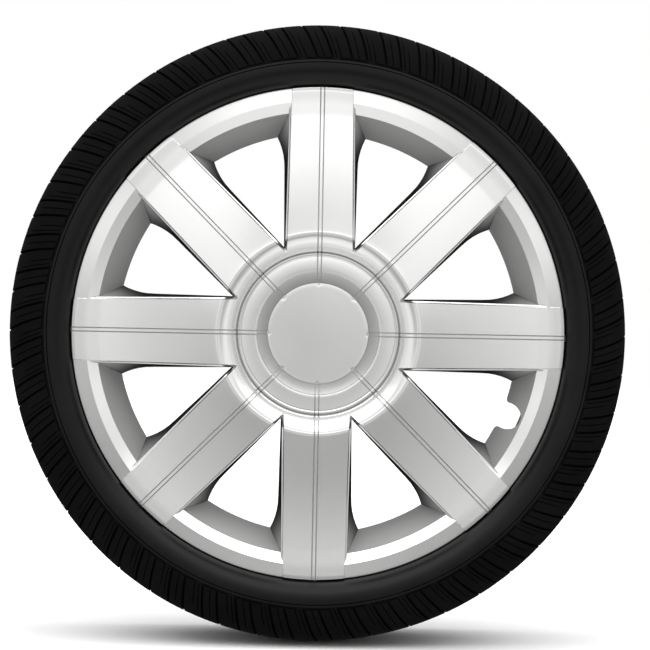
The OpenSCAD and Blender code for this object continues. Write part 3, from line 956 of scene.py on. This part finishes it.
# %% Fifty pitches make the tread
tread = bmesh.new()
patch(tread, len(ROWS) + 2 * len(UNDERSIDE) - 1, len(COLUMNS), tread_place)
one = bpy.data.meshes.new("pitch")
tread.to_mesh(one)
for k in range(1, PITCHES):
    one_more = one.copy()
    one_more.transform(Matrix.Rotation(-k * PITCH, 4, "Y"))
    tread.from_mesh(one_more)
    bpy.data.meshes.remove(one_more)
bpy.data.meshes.remove(one)
weld(tread)
print("open edges of the tread:", sum(e.is_boundary for e in tread.edges))
tread_blocks = finish_piece(tread, "tread_blocks", "tyre", [tread_rubber], crisp=35)
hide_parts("tread")

# %% [markdown]
# A sidewall is the same all the way round, so it is one closed outline, spun. A fine groove
# marks where the moulds meet below the shoulder.

# %% Sidewalls
WALL_T = [0.9, 0.915, 0.924, 0.931, 0.938, 0.95, 0.975, 1.0, 1.04, 1.08, 1.13, 1.18, 1.24,
          1.3, 1.36, 1.42, 1.48, 1.53, 1.57, 1.6, 1.65, 1.7]


def sidewall_line(face):
    line = []
    for t in WALL_T:
        p = outer(t)
        if t == 0.931:
            p = p + Vector((-0.1, -0.9))
        line.append((p.x, p.y * face))
    for t in reversed([0.9, 1.0, 1.1, 1.2, 1.25, 1.35, 1.45, 1.55, 1.65, 1.7]):
        full = (outer(t) - inner(t)).length
        share = 0.15 + 0.4 * (t - 1.25) / 0.45 if t >= 1.25 else 0
        p = layer(t, UNDER_T + share * (full - UNDER_T))
        line.append((p.x, p.y * face))
    return line


def spun_piece(name, line, body, material, steps=240):
    bm = bmesh.new()
    corners = [bm.verts.new(wheel_point(r, 0, z)) for r, z in line]
    edges = [bm.edges.new((a, b)) for a, b in zip(corners, corners[1:] + corners[:1])]
    bmesh.ops.spin(bm, geom=corners + edges, cent=(0, 0, 0), axis=(0, 1, 0), dvec=(0, 0, 0),
                   angle=TURN, steps=steps, use_merge=True, use_duplicate=False)
    weld(bm)
    return finish_piece(bm, name, body, [material])


for face, end in ((1, "front"), (-1, "rear")):
    piece = spun_piece("sidewall_skin_" + end, sidewall_line(face), "tyre",
                       sidewall_rubber)
    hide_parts("sidewall_" + end)

# %% [markdown]
# ## CAD pieces that stay
#
# The clips, the wire ring, its sleeve, the beads and the layers inside the tyre have the right
# shape already. They only get their finishes.

# %% Give the CAD pieces their finishes
KEPT = {
    "cap_ply": ply_cord, "belt_outer": bead_steel, "belt_inner": bead_steel,
    "carcass_ply": ply_cord, "inner_liner": liner_rubber, "apex_front": liner_rubber,
    "apex_rear": liner_rubber, "bead_core_front": bead_steel, "bead_core_rear": bead_steel,
    "chafer_front": sidewall_rubber, "chafer_rear": sidewall_rubber,
    "centre_cap": bare_moulding, "wire_ring": spring_steel, "ring_sleeve": sleeve_steel,
}
KEPT.update({f"clip_{k + 1}": clip_nylon for k in range(SPOKES)})
for name, material in KEPT.items():
    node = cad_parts[name]
    for slot in node.material_slots:
        slot.material = material
print(len(KEPT), "CAD pieces keep their shape")

# %% [markdown]
# ## Floor and light
#
# The wheel stands on a plain pale floor in a white studio. The light comes from everywhere, but
# not evenly: brightest from above and in front, and dimmest just below the horizon, where a
# studio's floor falls into its own shade. That unevenness is what draws the shapes on silver.
# The floor isn't seen in the lacquer, so that its edge doesn't cut through the reflections.

# %% Floor
FLOOR_GAP = 0.0005    # in metres, so that the tread doesn't share the floor's plane
floor_bm = bmesh.new()
bmesh.ops.create_circle(floor_bm, cap_ends=True, segments=96, radius=9.0)
bmesh.ops.translate(floor_bm, vec=(0, 0, cad_low.z - FLOOR_GAP), verts=floor_bm.verts)
floor_mesh = bpy.data.meshes.new("floor")
floor_bm.to_mesh(floor_mesh)
floor_bm.free()
floor = bpy.data.objects.new("floor", floor_mesh)
bpy.context.collection.objects.link(floor)
pale = Finish("pale_floor")
pale.link(pale.mix(pale.noise(3, detail=4.0), (0.93, 0.93, 0.93), (0.96, 0.96, 0.955)),
          pale.shader.inputs["Base Color"])
pale.set(Roughness=0.85)
floor_mesh.materials.append(pale.material)
floor.visible_glossy = False
print("floor at height", round(cad_low.z - FLOOR_GAP, 4), "m")

# %% [markdown]
# The studio is a world whose brightness depends on the direction. `LEVELS` gives it by height,
# from straight below to straight above. Area lamps would make the same highlights, but each one
# would show its edge in the lacquer.

# %% Brightness by height
world = bpy.data.worlds.new("studio")
bpy.context.scene.world = world
world.use_nodes = True
tree = world.node_tree
tree.nodes.clear()


def world_node(kind, **fixed):
    made = tree.nodes.new(kind)
    for key, value in fixed.items():
        setattr(made, key, value)
    return made


direction = world_node("ShaderNodeTexCoord").outputs["Generated"]
parts = world_node("ShaderNodeSeparateXYZ")
tree.links.new(direction, parts.inputs[0])
lift = world_node("ShaderNodeMapRange")
lift.inputs["From Min"].default_value = -1
tree.links.new(parts.outputs["Z"], lift.inputs["Value"])
ramp = world_node("ShaderNodeValToRGB")
TOP_LEVEL, TOP_AROUND = 3.0, 1.8      # a ramp holds shares of these
LEVELS = ((-1.0, 1.15), (-0.7, 1.0), (-0.5, 0.5), (-0.38, 0.41), (-0.32, 0.38), (-0.2, 0.45),
          (-0.15, 0.48), (-0.1, 0.55), (0.0, 0.58), (0.07, 0.64), (0.12, 0.84), (0.17, 1.08),
          (0.24, 1.1), (0.29, 0.92), (0.34, 0.84), (0.39, 0.76), (0.46, 1.3), (0.6, 2.4),
          (0.8, TOP_LEVEL), (1.0, 2.6))


def fill_ramp(ramp, stops, top):
    elements = ramp.color_ramp.elements
    elements[0].position, elements[1].position = 0, 1
    for at, level in stops[1:-1]:
        elements.new(at)
    for element, (at, level) in zip(elements, stops):
        element.color = (level / top, level / top, level / top, 1)


fill_ramp(ramp, [((z + 1) / 2, level) for z, level in LEVELS], TOP_LEVEL)
tree.links.new(lift.outputs["Result"], ramp.inputs["Fac"])
print("studio levels from below to above:", [level for _, level in LEVELS])

# %% [markdown]
# In front stands a soft ring of light round the camera: `AROUND` gives its level by the distance
# from the wheel's axis. It is what brightens the cone of the hub and the bevels. To the left and
# right the studio is dark, so that a bevel which faces sideways keeps a clear line.

# %% Brightness round the axis and at the sides
AROUND = ((0.0, 1.0), (0.08, 1.08), (0.12, 1.25), (0.15, 1.65), (0.18, 1.72), (0.21, 1.42),
          (0.25, 1.25), (0.32, 1.08), (0.4, 1.0), (1.0, 1.0))
side = world_node("ShaderNodeMath", operation="ABSOLUTE")
tree.links.new(parts.outputs["X"], side.inputs[0])
sideways = world_node("ShaderNodeMapRange", interpolation_type="SMOOTHSTEP")
sideways.inputs["From Min"].default_value = 0.55
sideways.inputs["From Max"].default_value = 0.95
tree.links.new(side.outputs[0], sideways.inputs["Value"])
flat = world_node("ShaderNodeVectorMath", operation="MULTIPLY")
flat.inputs[1].default_value = (1, 0, 1)
tree.links.new(direction, flat.inputs[0])
away = world_node("ShaderNodeVectorMath", operation="LENGTH")
tree.links.new(flat.outputs[0], away.inputs[0])
around = world_node("ShaderNodeValToRGB")
fill_ramp(around, AROUND, TOP_AROUND)
tree.links.new(away.outputs["Value"], around.inputs["Fac"])
dipped = world_node("ShaderNodeMix", data_type="RGBA", blend_type="MULTIPLY")
dipped.inputs["Factor"].default_value = 1
tree.links.new(ramp.outputs["Color"], dipped.inputs[6])
tree.links.new(around.outputs["Color"], dipped.inputs[7])
blend = world_node("ShaderNodeMix", data_type="RGBA")
tree.links.new(sideways.outputs["Result"], blend.inputs["Factor"])
tree.links.new(dipped.outputs[2], blend.inputs[6])
blend.inputs[7].default_value = (0.185, 0.185, 0.185, 1)
print("the ring round the axis is brightest at", max(AROUND, key=lambda stop: stop[1])[0])

# %% [markdown]
# Behind the wheel the studio is dimmer, so that the tyre's edge doesn't glow. The camera sees
# plain white instead of these levels, because uneven grey round the wheel would hide its outline.

# %% Dimmer behind, and white for the camera
behind = world_node("ShaderNodeMapRange", interpolation_type="SMOOTHSTEP")
for key, number in {"From Min": 0.0, "From Max": 0.35, "To Min": 1.0, "To Max": 0.4}.items():
    behind.inputs[key].default_value = number
tree.links.new(parts.outputs["Y"], behind.inputs["Value"])
shaded = world_node("ShaderNodeMix", data_type="RGBA", blend_type="MULTIPLY")
shaded.inputs["Factor"].default_value = 1
tree.links.new(blend.outputs[2], shaded.inputs[6])
tree.links.new(behind.outputs["Result"], shaded.inputs[7])
lit = world_node("ShaderNodeBackground")
lit.inputs["Strength"].default_value = 5.4
tree.links.new(shaded.outputs[2], lit.inputs["Color"])
white = world_node("ShaderNodeBackground")
white.inputs["Color"].default_value = (1, 1, 1, 1)
seen = world_node("ShaderNodeLightPath").outputs["Is Camera Ray"]
choose = world_node("ShaderNodeMixShader")
tree.links.new(seen, choose.inputs["Fac"])
tree.links.new(lit.outputs[0], choose.inputs[1])
tree.links.new(white.outputs[0], choose.inputs[2])
out = world_node("ShaderNodeOutputWorld")
tree.links.new(choose.outputs[0], out.inputs["Surface"])
bpy.context.scene.view_settings.view_transform = "Standard"
print("strength of the studio:", lit.inputs["Strength"].default_value)
